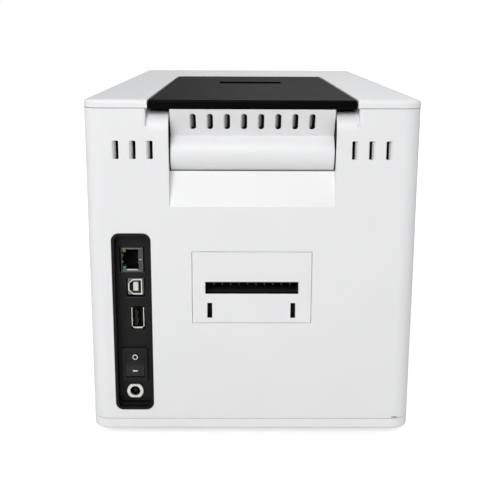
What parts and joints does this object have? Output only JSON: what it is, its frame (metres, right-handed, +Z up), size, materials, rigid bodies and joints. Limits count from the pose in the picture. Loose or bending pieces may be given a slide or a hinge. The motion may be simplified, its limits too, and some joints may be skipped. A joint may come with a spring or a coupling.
{
  "type": "id card printer",
  "caption": "Desktop plastic card printer with a rear-hinged black lid, slotted hinge skirt, rear card slot and a recessed connector panel.",
  "frame": {"origin": "on the floor, under the middle of the housing", "axes": "+Z up; the connector side with the lid hinge faces +Y, the operator stands at -Y; +X is to the left when looking at the connector side"},
  "size_m": [0.208, 0.409, 0.2196],
  "materials": {
    "white_casing": "fine satin moulding",
    "warm_casing": "fine satin moulding",
    "lid_black": "semi-gloss",
    "black_plastic": "matte moulding",
    "dark_plastic": "matte moulding",
    "socket_steel": "plated",
    "chassis_steel": "zinc plated",
    "aluminium": "satin",
    "rubber": "matte",
    "circuit_board": "solder mask",
    "bronze": "satin",
    "gear_plastic": "acetal",
    "ceramic_head": "glazed",
    "ribbon_black": "film gloss",
    "motor_black": "satin paint"
  },
  "bodies": {
    "chassis": {"rubber_feet": "rubber", "base_tray": "warm_casing", "body_shell": "white_casing", "top_cover": "white_casing", "front_fascia": "white_casing", "slot_plate": "white_casing", "slot_guide": "dark_plastic", "io_panel": "black_plastic", "rj45_jack": "socket_steel", "usb_b_socket": "socket_steel", "usb_a_socket": "socket_steel", "switch_bezel": "black_plastic", "dc_jack": "socket_steel", "main_board": "circuit_board", "left_side_plate": "chassis_steel", "right_side_plate": "chassis_steel", "cross_rails": "chassis_steel", "shaft_bushes": "bronze", "card_guides": "dark_plastic", "hinge_pins": "chassis_steel", "case_screws": "chassis_steel", "cassette_frame": "white_casing", "ribbon_film": "ribbon_black", "drive_motor": "motor_black", "card_hopper": "dark_plastic", "output_bin": "dark_plastic", "display_window": "lid_black"},
    "lid": {"lid_plate": "lid_black", "lid_skirt": "white_casing", "lid_frame": "dark_plastic", "head_carrier": "aluminium", "print_head": "ceramic_head"},
    "rocker": {"power_rocker": "black_plastic"},
    "platen_drive": {"platen_roller": "rubber", "platen_gear": "gear_plastic"},
    "pick_drive": {"pick_roller": "rubber", "pick_gear": "gear_plastic"},
    "front_feed_drive": {"front_feed_roller": "rubber", "front_feed_gear": "gear_plastic"},
    "rear_feed_drive": {"rear_feed_roller": "rubber", "rear_feed_gear": "gear_plastic"},
    "exit_drive": {"exit_roller": "rubber", "exit_gear": "gear_plastic"},
    "idler_1": {"idler_gear_1": "gear_plastic"},
    "idler_2": {"idler_gear_2": "gear_plastic"},
    "idler_3": {"idler_gear_3": "gear_plastic"},
    "idler_4": {"idler_gear_4": "gear_plastic"},
    "pinion": {"motor_pinion": "bronze"},
    "front_pinch": {"front_pinch_roller": "chassis_steel"},
    "rear_pinch": {"rear_pinch_roller": "chassis_steel"},
    "exit_pinch": {"exit_pinch_roller": "chassis_steel"},
    "supply": {"supply_spool": "ribbon_black"},
    "take_up": {"take_up_spool": "ribbon_black"},
    "door": {"hopper_door": "lid_black"},
    "weight": {"card_weight": "chassis_steel"},
    "flap": {"diverter_flap": "dark_plastic"},
    "menu_button_cap": {"menu_button": "black_plastic"},
    "feed_button_cap": {"feed_button": "black_plastic"}
  },
  "joints": [
    {"name": "lid_hinge", "type": "hinge", "parent": "chassis", "child": "lid", "pos_m": [0, 0.189, 0.186], "axis": [-1, 0, 0], "range_deg": [0, 100]},
    {"name": "power_switch", "type": "hinge", "parent": "chassis", "child": "rocker", "pos_m": [0.0762, 0.193, 0.04695], "axis": [-1, 0, 0], "range_deg": [0, 14]},
    {"name": "platen_spin", "type": "hinge", "parent": "chassis", "child": "platen_drive", "pos_m": [0, 0.004, 0.0928], "axis": [1, 0, 0], "continuous": true},
    {"name": "pick_spin", "type": "hinge", "parent": "chassis", "child": "pick_drive", "pos_m": [0, -0.124, 0.0928], "axis": [1, 0, 0], "continuous": true},
    {"name": "front_feed_spin", "type": "hinge", "parent": "chassis", "child": "front_feed_drive", "pos_m": [0, -0.06, 0.0928], "axis": [1, 0, 0], "continuous": true},
    {"name": "rear_feed_spin", "type": "hinge", "parent": "chassis", "child": "rear_feed_drive", "pos_m": [0, 0.068, 0.0928], "axis": [1, 0, 0], "continuous": true},
    {"name": "exit_spin", "type": "hinge", "parent": "chassis", "child": "exit_drive", "pos_m": [0, 0.132, 0.0928], "axis": [1, 0, 0], "continuous": true},
    {"name": "idler_1_spin", "type": "hinge", "parent": "chassis", "child": "idler_1", "pos_m": [-0.0685, -0.092, 0.0928], "axis": [1, 0, 0], "continuous": true},
    {"name": "idler_2_spin", "type": "hinge", "parent": "chassis", "child": "idler_2", "pos_m": [-0.0685, -0.028, 0.0928], "axis": [1, 0, 0], "continuous": true},
    {"name": "idler_3_spin", "type": "hinge", "parent": "chassis", "child": "idler_3", "pos_m": [-0.0685, 0.036, 0.0928], "axis": [1, 0, 0], "continuous": true},
    {"name": "idler_4_spin", "type": "hinge", "parent": "chassis", "child": "idler_4", "pos_m": [-0.0685, 0.1, 0.0928], "axis": [1, 0, 0], "continuous": true},
    {"name": "pinion_spin", "type": "hinge", "parent": "chassis", "child": "pinion", "pos_m": [-0.0685, 0.036, 0.0688], "axis": [1, 0, 0], "continuous": true},
    {"name": "front_pinch_spin", "type": "hinge", "parent": "chassis", "child": "front_pinch", "pos_m": [0, -0.06, 0.1068], "axis": [1, 0, 0], "continuous": true},
    {"name": "rear_pinch_spin", "type": "hinge", "parent": "chassis", "child": "rear_pinch", "pos_m": [0, 0.068, 0.1068], "axis": [1, 0, 0], "continuous": true},
    {"name": "exit_pinch_spin", "type": "hinge", "parent": "chassis", "child": "exit_pinch", "pos_m": [0, 0.132, 0.1068], "axis": [1, 0, 0], "continuous": true},
    {"name": "supply_spin", "type": "hinge", "parent": "chassis", "child": "supply", "pos_m": [0, 0.054, 0.142], "axis": [1, 0, 0], "continuous": true},
    {"name": "take_up_spin", "type": "hinge", "parent": "chassis", "child": "take_up", "pos_m": [0, -0.046, 0.142], "axis": [1, 0, 0], "continuous": true},
    {"name": "hopper_door_hinge", "type": "hinge", "parent": "chassis", "child": "door", "pos_m": [0, -0.2015, 0.099], "axis": [1, 0, 0], "range_deg": [0, 75]},
    {"name": "card_weight_slide", "type": "slide", "parent": "chassis", "child": "weight", "axis": [0, 0, 1], "range_m": [0, 0.07]},
    {"name": "diverter_hinge", "type": "hinge", "parent": "chassis", "child": "flap", "pos_m": [0, -0.102, 0.0977], "axis": [1, 0, 0], "range_deg": [0, 14]},
    {"name": "menu_button_press", "type": "slide", "parent": "chassis", "child": "menu_button_cap", "axis": [0, 1, 0], "range_m": [0, 0.0015], "stiffness_N_per_m": 400},
    {"name": "feed_button_press", "type": "slide", "parent": "chassis", "child": "feed_button_cap", "axis": [0, 1, 0], "range_m": [0, 0.0015], "stiffness_N_per_m": 400}
  ],
  "couplings": [
    {"joint": "pick_spin", "follows": "platen_spin", "ratio": 1},
    {"joint": "front_feed_spin", "follows": "platen_spin", "ratio": 1},
    {"joint": "rear_feed_spin", "follows": "platen_spin", "ratio": 1},
    {"joint": "exit_spin", "follows": "platen_spin", "ratio": 1},
    {"joint": "idler_1_spin", "follows": "platen_spin", "ratio": -1},
    {"joint": "idler_2_spin", "follows": "platen_spin", "ratio": -1},
    {"joint": "idler_3_spin", "follows": "platen_spin", "ratio": -1},
    {"joint": "idler_4_spin", "follows": "platen_spin", "ratio": -1},
    {"joint": "pinion_spin", "follows": "platen_spin", "ratio": 2}
  ]
}
